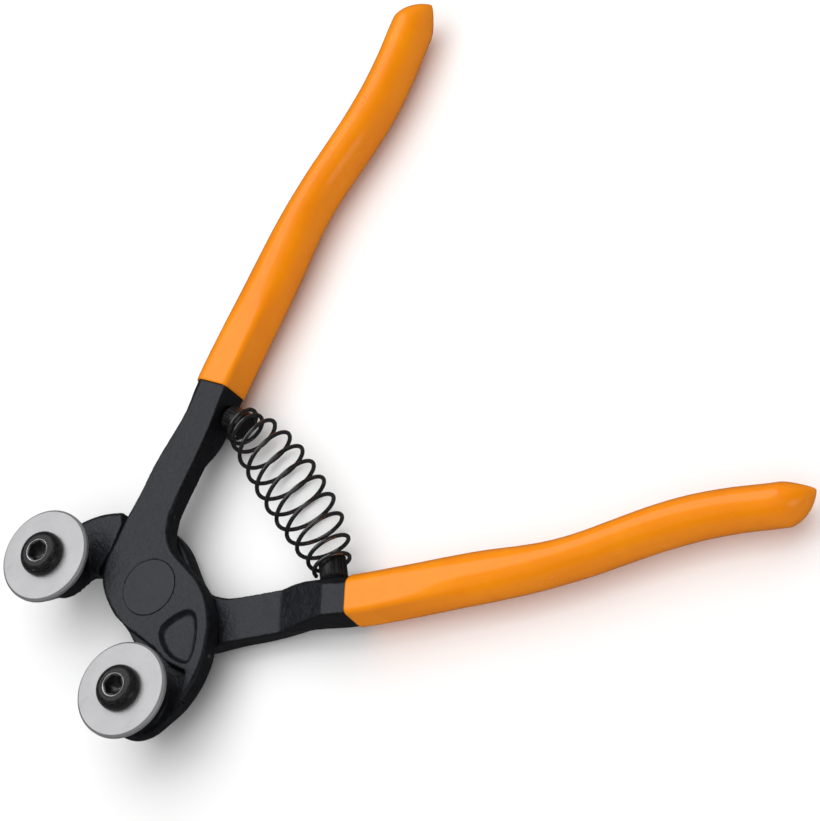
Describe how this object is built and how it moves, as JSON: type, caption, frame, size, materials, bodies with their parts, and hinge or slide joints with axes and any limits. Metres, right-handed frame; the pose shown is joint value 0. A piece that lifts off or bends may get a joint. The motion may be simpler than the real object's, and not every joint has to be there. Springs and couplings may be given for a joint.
{
  "type": "glass nippers",
  "caption": "Wheeled mosaic glass nippers: two forged levers crossed on a flush rivet, round carbide wheels screwed to the jaws, a barrel return spring and dipped orange grips.",
  "frame": {"origin": "on the rivet's axis, at the levers' back face", "axes": "+Z along the rivet, towards the side with the screw heads; +Y from the rivet towards the jaws, midway between the two wheels with the tool sprung open; +X completes a right-handed frame"},
  "size_m": [0.1714, 0.1559, 0.022],
  "materials": {
    "black_steel": "satin black coating over forged steel",
    "rivet_steel": "flush end, blacked with the levers",
    "carbide": "ground satin",
    "black_oxide": "black oxide",
    "spring_wire": "glossy black",
    "orange_dip": "glossy dipped vinyl"
  },
  "bodies": {
    "front_body": {"front_lever": "black_steel", "pivot_rivet": "rivet_steel", "return_spring": "spring_wire", "front_wheel_screw": "black_oxide", "front_spring_stud": "black_oxide", "front_grip": "orange_dip"},
    "rear_body": {"rear_lever": "black_steel", "rear_wheel_screw": "black_oxide", "rear_spring_stud": "black_oxide", "rear_grip": "orange_dip"},
    "front_wheel_body": {"front_wheel": "carbide"},
    "rear_wheel_body": {"rear_wheel": "carbide"}
  },
  "joints": [
    {"name": "main_pivot", "type": "hinge", "parent": "front_body", "child": "rear_body", "pos_m": [0, 0, 0.00525], "axis": [0, 0, 1], "range_deg": [0, 55.5], "stiffness_Nm_per_rad": 0.9, "springref_deg": -20.05, "deforming": ["return_spring"]},
    {"name": "front_wheel_index", "type": "hinge", "parent": "front_body", "child": "front_wheel_body", "pos_m": [-0.02087, 0.0155, 0.0138], "axis": [0, 0, 1], "continuous": true},
    {"name": "rear_wheel_index", "type": "hinge", "parent": "rear_body", "child": "rear_wheel_body", "pos_m": [0.02087, 0.0155, 0.0138], "axis": [0, 0, 1], "continuous": true}
  ]
}
